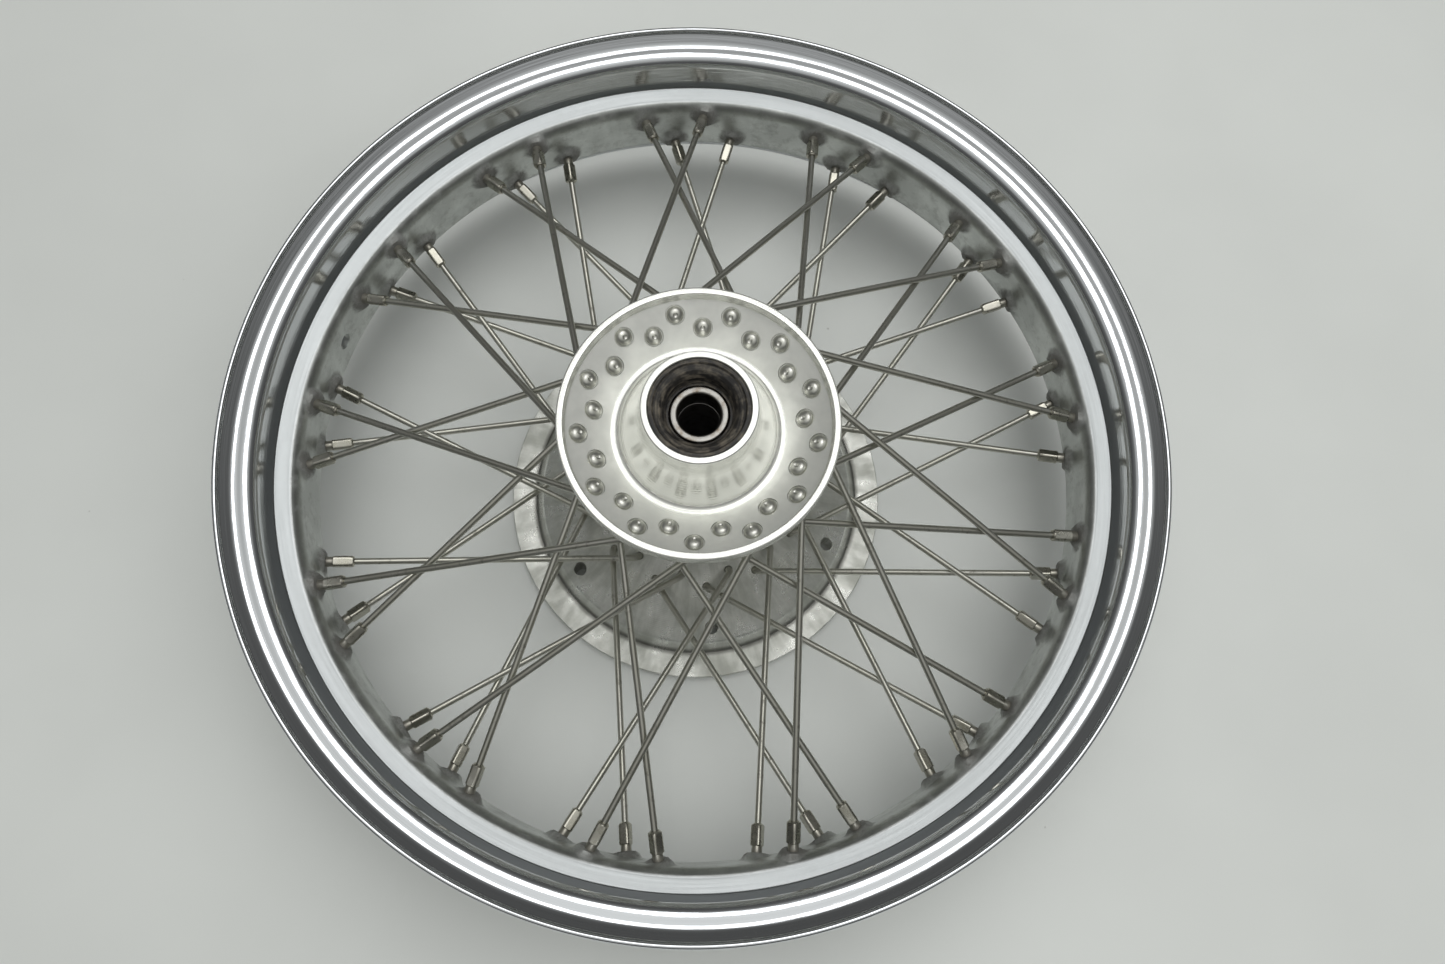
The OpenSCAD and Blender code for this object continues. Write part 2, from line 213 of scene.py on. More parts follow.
def flange_back(side, r):
    return flange_face(side, r) - FLANGE_T / math.cos(DISH)


# ---- meshes ----


def enclosed(points, faces):
    """Six times the volume that the faces enclose, negative if they point inwards."""
    first, second, third = (points[faces[:, i]] for i in (0, 1, 2))
    total = np.sum(first * np.cross(second, third))
    if faces.shape[1] == 4:
        total += np.sum(first * np.cross(third, points[faces[:, 3]]))
    return total


def make(name, points, quads, body, nodes, material, tris=None, masks=None, crease=38):
    """A mesh object from points in millimetres, whose faces are turned outwards."""
    tris = np.zeros((0, 3), int) if tris is None else tris
    volume = sum(enclosed(points, f) for f in (quads, tris) if len(f))
    if volume < 0:
        quads, tris = quads[:, ::-1], tris[:, ::-1]
    mesh = bpy.data.meshes.new(name)
    mesh.from_pydata((points * MM).tolist(), [], quads.tolist() + tris.tolist())
    mesh.polygons.foreach_set("use_smooth", np.ones(len(mesh.polygons), bool))
    mesh.set_sharp_from_angle(angle=math.radians(crease))
    for key, values in (masks or {}).items():
        layer = mesh.attributes.new(key, "FLOAT", "POINT")
        layer.data.foreach_set("value", np.ascontiguousarray(values, np.float32).ravel())
    mesh.materials.append(material)
    obj = bpy.data.objects.new(name, mesh)
    bpy.context.scene.collection.objects.link(obj)
    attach(obj, body)
    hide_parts(*nodes)
    return obj


def grid_quads(rows, cols, closed_rows=False, start=0):
    """Faces of a grid whose columns come round to their start, and its rows too if asked."""
    i = np.arange(rows if closed_rows else rows - 1)[:, None]
    j = np.arange(cols)[None, :]
    a, b = i * cols, (i + 1) % rows * cols
    k = (j + 1) % cols
    return np.stack([a + j, a + k, b + k, b + j], -1).reshape(-1, 4) + start


def lathe(outline, cols=180):
    """A closed outline (radius, height) turned about the axle: radius by the cosine and sine of each
    of cols even angles, and height unchanged."""
    a = np.linspace(0, 2 * math.pi, cols, endpoint=False)[None, :]
    points = polar(outline[:, :1], a, outline[:, 1:])
    return points.reshape(-1, 3), grid_quads(len(outline), cols, closed_rows=True)


class Shell:
    """A closed surface of rings of points, each ring coming round to its start and the last one
    joining the first, with holes let into it. A ring may have half as many points as its neighbour."""

    def __init__(self, rings):
        self.points = list(rings)
        self.count = 0
        self.rings = []
        for ring in rings:
            self.rings.append(self.count + np.arange(len(ring)))
            self.count += len(ring)
        self.keep = [np.ones(len(ring), bool) for ring in rings]
        self.quads = []

    def place(self, numbers):
        return np.concatenate(self.points)[numbers]

    def add(self, points):
        """Adds a ring of points and gives their numbers."""
        self.points.append(points)
        self.count += len(points)
        return np.arange(self.count - len(points), self.count)

    def opening(self, row0, row1, col0, col1):
        """Takes out a block of cells and gives the numbers of its edge, in the cells' own order."""
        down, over = np.arange(row0, row1), np.arange(col0, col1)
        for row in down:
            self.keep[row][over % len(self.rings[row])] = False
        edge = [(row0, j) for j in over] + [(i, col1) for i in down]
        edge += [(row1, j + 1) for j in over[::-1]] + [(i + 1, col0) for i in down[::-1]]
        return np.array([self.rings[i][j % len(self.rings[i])] for i, j in edge])

    def bridge(self, outer, inner):
        """Joins two rings of equally many points with a band of faces."""
        self.quads.append(np.stack([outer, np.roll(outer, -1), np.roll(inner, -1), inner], -1))

    def bore(self, edge, centre, axis, rings, height):
        """Lets a round hole into an opening. Each ring (radius, depth) is a circle about the axis; one
        whose depth is None lies on the surface, where height(points) is zero, found by sliding its
        points along the axis. Two rings between the edge and the first circle share the change."""
        start = self.place(edge)
        side = unit(np.cross(axis, [0.3, 0.5, 0.81]))
        other = np.cross(axis, side)
        turn = np.arctan2((start - centre) @ other, (start - centre) @ side)[:, None]
        around = np.cos(turn) * side + np.sin(turn) * other
        circles = [centre + around * radius + axis * (depth or 0) for radius, depth in rings]
        circles = [c if d is not None else slide(c, axis, height) for c, (_, d) in zip(circles, rings)]
        between = [slide(start + (circles[0] - start) * part, axis, height) for part in (0.4, 0.75)]
        last = edge
        for ring in between + circles:
            numbers = self.add(ring)
            self.bridge(last, numbers)
            last = numbers
        return last

    def join(self, near, far):
        """Joins the last rings of two holes that meet: the far one is taken the other way round, and
        rolled until its points lie nearest to the near one's."""
        far = far[::-1]
        a, b = self.place(near), self.place(far)
        gaps = [np.sum((a - np.roll(b, s, axis=0)) ** 2) for s in range(len(far))]
        self.bridge(near, np.roll(far, int(np.argmin(gaps))))

    def finish(self):
        """All points, quads and triangles. Rings of unlike number are joined by three triangles to
        each pair of narrow cells."""
        tris = []
        for here, there, keep in zip(self.rings, self.rings[1:] + self.rings[:1], self.keep):
            if len(here) == len(there):
                cells = np.stack([here, np.roll(here, -1), np.roll(there, -1), there], -1)
                self.quads.append(cells[keep])
                continue
            many, few = (here, there) if len(here) > len(there) else (there, here)
            a, b, c, g, h = many[::2], many[1::2], np.roll(many, -1)[1::2], few, np.roll(few, -1)
            strip = np.concatenate([np.stack(f, -1) for f in ((a, b, g), (b, h, g), (b, c, h))])
            tris.append(strip if many is here else strip[:, ::-1])
        tris = np.concatenate(tris) if tris else np.zeros((0, 3), int)
        return np.concatenate(self.points), np.concatenate(self.quads), tris


def slide(points, axis, height):
    """Points moved along the axis to where height is zero, by four steps of the secant rule."""
    for _ in range(4):
        here = height(points)
        slope = height(points + 0.01 * axis) - here
        points = points - axis * (0.01 * here / slope)[:, None]
    return points


# ---- materials ----


class Value:
    """One number on its way through a material; arithmetic on it adds Math nodes."""

    def __init__(self, maker, socket):
        self.maker, self.socket = maker, socket

    def math(self, operation, *others):
        return self.maker.node("Math", {"operation": operation}, dict(enumerate((self, *others))))

    def __add__(self, other):
        return self.math("ADD", other)

    def __sub__(self, other):
        return self.math("SUBTRACT", other)

    def __mul__(self, other):
        return self.math("MULTIPLY", other)

    def __rsub__(self, other):
        return self.maker.node("Math", {"operation": "SUBTRACT"}, {0: other, 1: self})

    __radd__ = __add__
    __rmul__ = __mul__

    def power(self, other):
        return self.math("POWER", other)

    def least(self, other):
        return self.math("MINIMUM", other)

    def sine(self):
        return self.math("SINE")

    def size(self):
        return self.math("ABSOLUTE")

    def smooth(self, low, high):
        """0 below low, 1 above high, smooth between; low may be the larger."""
        settings = {"interpolation_type": "SMOOTHSTEP"}
        return self.maker.node("MapRange", settings, {0: self, 1: low, 2: high, 3: 0.0, 4: 1.0})


class Finish:
    """Builds one material round a Principled shader."""

    def __init__(self, name, **constants):
        self.material = bpy.data.materials.new(name)
        self.material.use_nodes = True
        self.tree = self.material.node_tree
        self.shader = self.tree.nodes["Principled BSDF"]
        for key, value in constants.items():
            self.shader.inputs[key.replace("_", " ")].default_value = value
        self.where = self.node("TexCoord", out="Object")

    def node(self, kind, settings=None, inputs=None, out=0):
        """Adds a node, sets its settings, then gives its sockets values or links."""
        node = self.tree.nodes.new("ShaderNode" + kind)
        for key, value in (settings or {}).items():
            setattr(node, key, value)
        for key, value in (inputs or {}).items():
            self.give(node.inputs[key], value)
        return Value(self, node.outputs[out])

    def give(self, socket, value):
        if isinstance(value, Value):
            self.tree.links.new(value.socket, socket)
        elif socket.type == "RGBA" and len(value) == 3:
            socket.default_value = (*value, 1)
        else:
            socket.default_value = value

    def axes(self):
        """X, Y and Z of the place, in metres."""
        return [self.node("SeparateXYZ", None, {0: self.where}, i) for i in range(3)]

    def radius(self):
        """Distance from the axle in millimetres, and height in millimetres."""
        x, y, z = self.axes()
        return (x * x + y * y).math("SQRT") * 1000, z * 1000

    def bearing_angle(self):
        x, y, _ = self.axes()
        return y.math("ARCTAN2", x)

    def noise(self, scale, detail=3.0, rough=0.5, at=None, out=0):
        settings = {"noise_dimensions": "3D"}
        place = self.where if at is None else at
        inputs = {"Vector": place, "Scale": scale, "Detail": detail, "Roughness": rough}
        return self.node("TexNoise", settings, inputs, out)

    def place(self, x, y, z):
        return self.node("CombineXYZ", None, {0: x, 1: y, 2: z})

    def mask(self, name):
        settings = {"attribute_type": "GEOMETRY", "attribute_name": name}
        return self.node("Attribute", settings, None, "Fac")

    def mix(self, share, a, b):
        """Colour a turning into colour b by share."""
        settings = {"data_type": "RGBA", "clamp_factor": True}
        return self.node("Mix", settings, {0: share, 6: a, 7: b}, 2)

    def bump(self, height, distance, strength=1.0, onto=None):
        inputs = {"Height": height, "Distance": distance, "Strength": strength}
        if onto is not None:
            inputs["Normal"] = onto
        return self.node("Bump", None, inputs)

    def set(self, **links):
        for key, value in links.items():
            self.give(self.shader.inputs[key.replace("_", " ")], value)
        return self.material


def rim_chrome(finish):
    """Mirror chrome on the flanges, a satin rolled shoulder, and a dull stained spoke bed."""
    f = Finish("rim_chrome", Metallic=1.0)
    r, z = f.radius()
    height = z.size()
    bed = r.smooth(204.6, 202.9)
    inside = r.smooth(213.6, 212.6) * height.smooth(22.5, 20.5) * (1 - bed)
    cloud = f.noise(38.0, 5.0, 0.62)
    fine = f.noise(420.0, 3.0, 0.6)
    streak = f.noise(1.0, 4.0, 0.6, at=f.place(f.bearing_angle() * 3.0, r * 0.9, z * 0.9))
    near = f.mask("near_nipple")
    spatter = f.noise(150.0, 6.0, 0.7).smooth(0.48, 0.66)
    smudge = f.noise(85.0, 5.0, 0.7)
    dirt = ((near * 1.0 + smudge * 1.7 - 1.05).smooth(0.0, 0.8) * near.smooth(0.05, 0.5)
            + bed * spatter * 0.3).least(1.0) * finish.dirt  # fmt: skip
    worn = f.mix(cloud.smooth(0.35, 0.7), (0.46, 0.475, 0.46), (0.66, 0.68, 0.66))
    base = f.mix(bed, f.mix(inside, tuple(finish.chrome), (0.44, 0.46, 0.465)), worn)
    base = f.mix(dirt, base, tuple(finish.grime))
    rough = 0.06 + fine * 0.04 + inside * (0.19 + streak * 0.16) + bed * (0.20 + cloud * 0.16)
    rough = rough + dirt * 0.35
    rolled = f.bump(streak, 0.00012, 0.5)
    return f.set(
        Base_Color=base,
        Roughness=rough,
        Metallic=1 - dirt * 0.85,
        Normal=f.bump(cloud * bed, 0.0006, 0.35, onto=rolled),
    )


def hub_alloy(finish):
    """Turned alloy: fine rings cut round the axle, cloudier on the disc side."""
    f = Finish("hub_alloy", Metallic=0.86)
    r, z = f.radius()
    x, y, _ = f.axes()
    turned = (r * 14.0 + z * 14.0).sine()
    wander = f.noise(1.0, 4.0, 0.65, at=f.place(r * 1.6, z * 1.6, 0.0))
    radial = f.noise(1.0, 3.0, 0.6, at=f.place(f.bearing_angle() * 9.0, r * 0.03, 0.0))
    cloud = f.noise(46.0, 5.0, 0.62)
    low = z.smooth(-20.0, -34.0)
    stain = (cloud * 0.6 + radial * 0.55).smooth(0.42, 0.74) * low
    base = f.mix(stain, tuple(finish.alloy), (0.56, 0.57, 0.52))
    # painted shade: a dark ring in the groove at the foot of the disc side bell
    groove_shade = (r - 93.2).size().smooth(2.6, 0.4) * z.smooth(-50.0, -60.0)
    base = f.mix(groove_shade * 0.75, base, (0.16, 0.155, 0.14))
    face = r.smooth(41.0, 43.0) * r.smooth(62.8, 62.0) * (1 - low)
    sweep = f.noise(1.0, 3.0, 0.6, at=f.place(x * 55, y * 55, 0.0)).smooth(0.35, 0.65)
    base = f.mix(sweep * face * 0.35, base, (0.62, 0.63, 0.60))
    rough = 0.11 + wander * 0.14 + cloud * 0.05 + face * (0.10 + sweep * 0.12)
    rough = rough + low * 0.04 + stain * 0.22
    ringed = f.bump(turned * 0.5 + wander, 0.00006, 0.45)
    uneven = f.bump(f.noise(26.0, 2.0, 0.5) * low, 0.004, 0.35, onto=ringed)
    return f.set(Base_Color=base, Roughness=rough, Normal=uneven)


def spoke_plating(finish):
    """Dull zinc plate, drawn lengthwise, with painted shade on the neck where the spoke goes through the
    flange and comes out of its back, and a painted highlight on the domed head.
    """
    f = Finish("spoke_plating", Metallic=1.0)
    along = f.mask("along")
    which = f.mask("which")
    drawn = f.noise(1.0, 4.0, 0.65, at=f.place(f.mask("round") * 2.2, along * 0.035, which * 40.0))
    spots = f.noise(260.0, 5.0, 0.7).smooth(0.55, 0.72)
    # painted shade on the neck, from 3 to 24 mm along, where the spoke passes through the flange and out of
    # its back
    ends = along.smooth(24.0, 6.0) * along.smooth(3.0, 6.0)
    dull = f.mix(drawn.smooth(0.3, 0.75), tuple(finish.plating), (0.60, 0.59, 0.55))
    # the dark spots are stains; the neck darkening mixed in with them here is painted shade
    dull = f.mix((spots * 0.45 + ends * 0.3).least(1.0), dull, (0.15, 0.135, 0.11))
    # painted highlight: the domed head is made lighter than the rest of the spoke
    dull = f.mix(along.smooth(5.0, 3.5), dull, (0.80, 0.80, 0.74))
    rough = 0.24 + drawn * 0.18 + spots * 0.2
    return f.set(Base_Color=dull, Roughness=rough, Normal=f.bump(drawn, 0.00008, 0.5))


def nipple_nickel(finish):
    """Bright nickel plate with dirt where the nipple enters the rim."""
    f = Finish("nipple_nickel", Metallic=1.0)
    along = f.mask("along")
    cloud = f.noise(180.0, 4.0, 0.6)
    foot = along.smooth(7.5, 3.0)
    dirt = (foot * 0.65 + cloud.smooth(0.55, 0.75) * 0.3).least(1.0) * finish.dirt
    base = f.mix(cloud, tuple(finish.nickel), (0.62, 0.60, 0.55))
    base = f.mix(dirt, base, tuple(finish.grime))
    return f.set(
        Base_Color=base,
        Roughness=0.20 + cloud * 0.16 + dirt * 0.3,
        Metallic=1 - dirt * 0.6,
        Normal=f.bump(cloud, 0.00012, 0.4),
    )


def seal_rubber(finish):
    """Black rubber with brown grease and dust wiped round it."""
    f = Finish("seal_rubber", Specular_IOR_Level=0.4)
    r, _ = f.radius()
    cloud = f.noise(170.0, 5.0, 0.65)
    swirl = f.noise(1.0, 4.0, 0.6, at=f.place(f.bearing_angle() * 2.0, r * 0.8, 0.0))
    dirt = (cloud * 0.6 + swirl * 0.6).smooth(0.52, 0.82) * finish.dirt
    base = f.mix(dirt, tuple(finish.rubber), (0.20, 0.175, 0.135))
    return f.set(Base_Color=base, Roughness=0.42 + dirt * 0.4, Normal=f.bump(cloud, 0.0003, 0.5))


def ground_steel(name, tint, rough, stain=0.25):
    """Steel ground or turned round the axle, lightly stained."""
    f = Finish(name, Metallic=1.0)
    r, z = f.radius()
    rings = f.noise(1.0, 3.0, 0.6, at=f.place(r * 3.0, z * 3.0, 0.0))
    cloud = f.noise(210.0, 4.0, 0.6)
    base = f.mix(cloud.smooth(0.45, 0.75) * stain, tint, (0.16, 0.12, 0.08))
    return f.set(Base_Color=base, Roughness=rough + rings * 0.14, Normal=f.bump(rings, 0.00005, 0.4))


def pale_floor(finish):
    """Painted pale floor with faint cloudiness and a few specks."""
    f = Finish("pale_floor", Specular_IOR_Level=0.3)
    cloud = f.noise(3.2, 4.0, 0.55)
    specks = f.noise(95.0, 2.0, 0.5).smooth(0.80, 0.83)
    tone = f.mix(cloud.smooth(0.3, 0.7), tuple(finish.floor), tuple(0.93 * c for c in finish.floor))
    base = f.mix(specks * 0.5, tone, (0.25, 0.24, 0.22))
    return f.set(Base_Color=base, Roughness=0.5 + cloud * 0.1)


# ---- pieces ----


def sizes():
    return bpy.context.scene.wheel_sizes


def finishes():
    return bpy.context.scene.wheel_finish


class WHEEL_OT_rim(bpy.types.Operator):
    """Rolls the chromed rim and presses a dimple for every nipple"""

    bl_idname = "wheel.rim"
    bl_label = "Rim"

    def execute(self, context):
        s = sizes()
        t, lip = s.sheet / MM, s.lip_radius / MM
        bed, seat = lip - 29.4, lip - 13.8
        corners = [
            (bed, 0, 0), (bed, 16.5, 5), (seat - 4.6, 19.6, 1.7), (seat - 2.2, 39.5, 4.6),
            (lip - 7.4, 39.5, 6.5), (lip - t / 2, 44.3, 2.4), (lip - t / 2, 45.6, 0),
        ]  # fmt: skip
        upper = held(rounded(corners, 5)[1:], 0.4)
        flat = np.linspace(-1, 1, 27)[1:-1, None] * upper[0, 1]
        flat = np.hstack([np.full_like(flat, bed), flat])
        path = np.vstack([(upper * [1, -1])[::-1], flat, upper])
        tip = np.radians(np.arange(60, -61, -30))[:, None]
        top = path[-1] + t / 2 * np.hstack([np.sin(tip) * -1, np.cos(tip)])
        low = path[0] + t / 2 * np.hstack([np.sin(tip), -np.cos(tip)])
        inner, outer = beside(path, t / 2), beside(path, -t / 2)
        outline = np.vstack([inner, top, outer[::-1], low])
        fine_angle = np.radians(np.linspace(-10.2, 10.2, 48, endpoint=False))
        rest_angle = np.radians(np.linspace(10.2, 360 / GROUPS - 10.2, 12, endpoint=False))
        one = FIRST_GROUP + np.concatenate([fine_angle, rest_angle])
        turn = (one[None, :] + PITCH * np.arange(GROUPS)[:, None]).ravel()
        is_fine = (np.abs(outline[:, 1]) < 17.3) & (outline[:, 0] < 204.5)
        plain_bed = polar(outline[is_fine, :1], turn, outline[is_fine, 1:])
        bed_rings, near = pressed_bed(plain_bed, s.dimple_radius / MM)
        wide_rings = polar(outline[~is_fine, :1], turn[::2], outline[~is_fine, 1:])
        rings, soil, beds, wides = [], [], iter(zip(bed_rings, near)), iter(wide_rings)
        for fine in is_fine:
            ring, dirt = next(beds) if fine else (next(wides), np.zeros(len(turn) // 2))
            rings.append(ring)
            soil.append(dirt)
        shell = Shell(rings)
        self.valve_hole(shell, outline, turn, s.valve_hole / MM / 2)
        points, quads, tris = shell.finish()
        soil = np.concatenate(soil)
        soil = np.concatenate([soil, np.zeros(len(points) - len(soil))])
        make("chrome_rim", points, quads, "wheel", ["rim"], rim_chrome(finishes()),
             tris=tris, masks={"near_nipple": soil})  # fmt: skip
        return {"FINISHED"}

    def valve_hole(self, shell, outline, turn, radius):
        """Cuts the same block of cells on both faces of the sheet and joins the two round edges."""
        out = polar(1.0, VALVE_TURN, 0.0)
        from_valve = np.remainder(turn - VALVE_TURN + math.pi, 2 * math.pi) - math.pi
        middle = int(np.argmin(np.abs(from_valve)))
        near = np.abs(outline[:, 1]) < 6.3
        ends = []
        for face, sign in zip(BED_FACES, (1, -1)):
            rows = np.flatnonzero(near & (np.abs(outline[:, 0] - face) < 0.1))
            edge = shell.opening(rows[0], rows[-1], middle - 3, middle + 3)
            surface = lambda p, face=face: np.hypot(p[:, 0], p[:, 1]) - face
            rings = [(radius + 0.5, None), (radius + 0.1, 0.12), (radius, 0.5)]
            ends.append(shell.bore(edge, out * face, out * sign, rings, surface))
        shell.join(*ends)


def pressed_bed(bed, flat_r):
    """Points of the spoke bed, and how near each lies to a nipple. A point rises along a nipple's axis
    to the top of a cone: flat out to the dimple's radius, then falling at its wall's slope, blended
    with the bed over a millimetre. Nearness is 1 beside the nipple and 0 some way off."""
    points, near = bed.copy(), np.zeros(bed.shape[:2])
    towards_hub = np.hypot(bed[..., 0], bed[..., 1]) < BED_MIDDLE
    for side in (UP, DOWN):
        for ring in (0, 1):
            _, _, _, seats, runs = lacing(side, ring)
            for seat, axis in zip(seats, -runs):
                row, col = np.nonzero(np.linalg.norm(bed - seat, axis=-1) < 16)
                away = bed[row, col] - seat
                height = away @ axis
                radial = np.sqrt(np.maximum(np.sum(away**2, -1) - height**2, 0))
                top = np.where(towards_hub[row, col], 3.4, 0.8)
                width = np.where(towards_hub[row, col], flat_r, flat_r - 1.3)
                cone = top - np.maximum(radial - width, 0) * 1.75
                lift = np.maximum(smooth_top(height, cone, 1.0) - height, 0)
                points[row, col] += axis * lift[:, None]
                near[row, col] = np.maximum(near[row, col], 1 - ramp(radial, 2.5, 12.5))
    return points, near


class WHEEL_OT_spokes(bpy.types.Operator):
    """Draws the four sets of bent spokes with their forged heads"""

    bl_idname = "wheel.spokes"
    bl_label = "Spokes"

    def execute(self, context):
        material = spoke_plating(finishes())
        for side in (UP, DOWN):
            for ring in (0, 1):
                name = f"{SIDE_NAME[side]}_{RING_NAME[ring]}_ring"
                points, quads, tris, masks = spoke_set(side, ring, sizes())
                make(f"bent_spokes_{name}", points, quads, "wheel",
                     [f"spokes_{name}"], material, tris=tris, masks=masks)  # fmt: skip
        return {"FINISHED"}


def spoke_set(side, ring, s, cols=20):
    """Thirteen spokes as circles carried along a path: down from the head, round an arc of radius 4
    at the knee, and straight to the rim. The circle's radius follows the domed head, the thick neck
    and elbow, then the thin run, and closes to almost nothing at both ends."""
    head, away, knee, seat, run = lacing(side, ring)
    thin, big = s.spoke / MM / 2, s.spoke_head / MM
    dome = np.radians(np.linspace(90, 4, 9))
    head_rows = [(-1.80, 0.02), (-1.82, 0.5), (-1.95, 0.95), (-2.16, 1.25)]
    head_rows += [(0.32 - 2.5 * math.sin(a), big * math.cos(a) ** 0.72) for a in dome[1:]]
    head_rows = [(d, r) for d, r in head_rows if d > -2.5 or r > 1.2]
    head_rows += [(0.30, big), (0.85, big), (1.0, big - 0.15), (1.0, thin + 0.3)]
    depth = np.array([d for d, _ in head_rows])
    widths = [r for _, r in head_rows]
    bend = np.arccos(np.sum(away * run, -1))
    cut = 4 * np.tan(bend / 2)
    normal = unit(np.cross(away, run))
    inwards = np.cross(normal, away)
    neck = np.linspace(0, 1, 5)[1:]
    straight = CORNER[ring] - cut
    centres = [head[:, None] + away[:, None] * depth[None, :, None],
               head[:, None] + away[:, None] * (1 + (straight[:, None] - 1) * neck)[..., None]]  # fmt: skip
    widths += [thin + 0.3] * 4
    ways = [np.repeat(away[:, None], len(depth) + 4, 1)]
    arc = np.linspace(0, 1, 9)[1:][None, :, None] * bend[:, None, None]
    hinge = (knee - away * cut[:, None] + inwards * 4)[:, None]
    centres.append(hinge - 4 * inwards[:, None] * np.cos(arc) + 4 * away[:, None] * np.sin(arc))
    ways.append(away[:, None] * np.cos(arc) + inwards[:, None] * np.sin(arc))
    widths += [thin + 0.13] * 8
    reach = np.linalg.norm(seat - knee, axis=-1)
    part = np.concatenate([np.linspace(0, 0.12, 5)[1:], np.linspace(0.12, 1, 9)[1:]])
    far = cut[:, None] + (reach - cut + 2)[:, None] * part
    centres.append(knee[:, None] + run[:, None] * far[..., None])
    ways.append(np.repeat(run[:, None], len(part), 1))
    widths += list(thin + 0.13 * (1 - ramp(part, 0.0, 0.10)))
    centres, ways = np.concatenate(centres, 1), np.concatenate(ways, 1)
    centres = np.concatenate([centres, centres[:, -1:]], 1)
    ways = np.concatenate([ways, ways[:, -1:]], 1)
    widths.append(0.02)
    other = np.cross(normal[:, None], ways)
    a = np.linspace(0, 2 * math.pi, cols, endpoint=False)
    circle = (normal[:, None, None] * np.cos(a)[:, None] + other[:, :, None] * np.sin(a)[:, None])
    points = centres[:, :, None] + circle * np.array(widths)[:, None, None]
    rows = points.shape[1]
    quads = np.concatenate([grid_quads(rows, cols, start=k * rows * cols) for k in range(GROUPS)])
    steps = np.linalg.norm(np.diff(centres, axis=1), axis=-1)
    along = np.concatenate([np.zeros((GROUPS, 1)), np.cumsum(steps, 1)], 1)
    ones = np.ones(points.shape[:3])
    masks = {
        "along": ones * along[..., None],
        "round": ones * np.minimum(a, 2 * math.pi - a),
        "which": ones * (np.arange(GROUPS) * 0.37 % 1)[:, None, None],
    }
    return points.reshape(-1, 3), quads, closed_ends(rows, cols), masks


def closed_ends(rows, cols):
    """Triangles that fan across the first and last small circles of each spoke."""
    i = np.arange(1, cols - 1)
    first = np.stack([np.zeros_like(i), i + 1, i], -1)
    last = first[:, ::-1] + (rows - 1) * cols
    one = np.concatenate([first, last])
    return (one[None] + (np.arange(GROUPS) * rows * cols)[:, None, None]).reshape(-1, 3)


class WHEEL_OT_nipples(bpy.types.Operator):
    """Forms the four sets of spoke nipples with their square flats"""

    bl_idname = "wheel.nipples"
    bl_label = "Nipples"

    def execute(self, context):
        material = nipple_nickel(finishes())
        for side in (UP, DOWN):
            for ring in (0, 1):
                name = f"{SIDE_NAME[side]}_{RING_NAME[ring]}_ring"
                points, quads, masks = nipple_set(side, ring, sizes())
                make(f"flatted_nipples_{name}", points, quads, "wheel",
                     [f"nipples_{name}"], material, masks=masks, crease=30)  # fmt: skip
        return {"FINISHED"}


def nipple_set(side, ring, s, cols=40):
    """Thirteen nipples: closed outlines (radius, distance) turned about each spoke's line, where the
    radius over the flats is the least of the round bar's and half the flats' width over the larger of
    the angle's cosine and sine, which makes a square with rounded corners."""
    _, _, _, seat, run = lacing(side, ring)
    neck, flats = s.nipple_neck / MM / 2, s.nipple_flats / MM / 2
    bore = s.spoke / MM / 2 + 0.06
    outline = [(bore, -3.0, 0), (3.2, -3.0, 0), (3.75, -2.8, 0), (4.3, -2.1, 0), (4.4, -1.7, 0), (4.4, 0.6, 0),
               (4.2, 0.8, 0), (neck, 0.8, 0), (neck, 4, 0), (neck, 6.2, 0), (neck + 0.05, 6.7, 0),
               (neck + 0.4, 6.95, 0.8), (3.4, 7.15, 1), (3.4, 9.5, 1), (3.4, 13, 1), (3.4, 16.2, 1),
               (3.1, 16.65, 0.9), (neck + 0.1, 16.85, 0.1), (neck, 16.95, 0), (neck - 0.4, 17.4, 0),
               (bore + 0.15, 17.4, 0), (bore, 17.2, 0), (bore, 9, 0)]  # fmt: skip
    r, d, square = (np.array(c)[:, None] for c in zip(*outline))
    a = np.linspace(0, 2 * math.pi, cols, endpoint=False)[None] + math.pi / cols
    flat = flats / np.maximum(np.abs(np.cos(a)), np.abs(np.sin(a)))
    width = r + square * np.minimum(flat - r, 0)
    axis = -run
    first = unit(np.cross(axis, [0, 0, 1.0]))
    spin = (np.arange(GROUPS) * 2.399 + side + ring)[:, None]
    first = first * np.cos(spin) + np.cross(axis, first) * np.sin(spin)
    second = np.cross(axis, first)
    circle = np.cos(a)[None, ..., None] * first[:, None, None]
    circle = circle + np.sin(a)[None, ..., None] * second[:, None, None]
    points = seat[:, None, None] + circle * width[None, ..., None]
    points = points + axis[:, None, None] * d[None, ..., None]
    rows = len(r)
    quads = np.concatenate(
        [grid_quads(rows, cols, closed_rows=True, start=k * rows * cols) for k in range(GROUPS)]
    )
    masks = {"along": np.ones(points.shape[:3]) * d[None]}
    return points.reshape(-1, 3), quads, masks


class WHEEL_OT_hub(bpy.types.Operator):
    """Turns the hub and lets in its spoke head recesses, spoke holes and bolt holes"""

    bl_idname = "wheel.hub"
    bl_label = "Hub"

    def execute(self, context):
        points, quads, tris = turned_hub(sizes())
        make("turned_hub", points, quads, "wheel", ["hub"], hub_alloy(finishes()),
             tris=tris, crease=32)  # fmt: skip
        return {"FINISHED"}


def bell(side, bend):
    """Outside of the bell from below the nose to the dished flange."""
    corners = [(26.8, NOSE[side] - 3, 0), (27.8, bend, 24), (39, flange_face(side, 39), 4),
               (44.5, flange_face(side, 44.5), 0)]  # fmt: skip
    return held(rounded(corners, 10), 0.4)


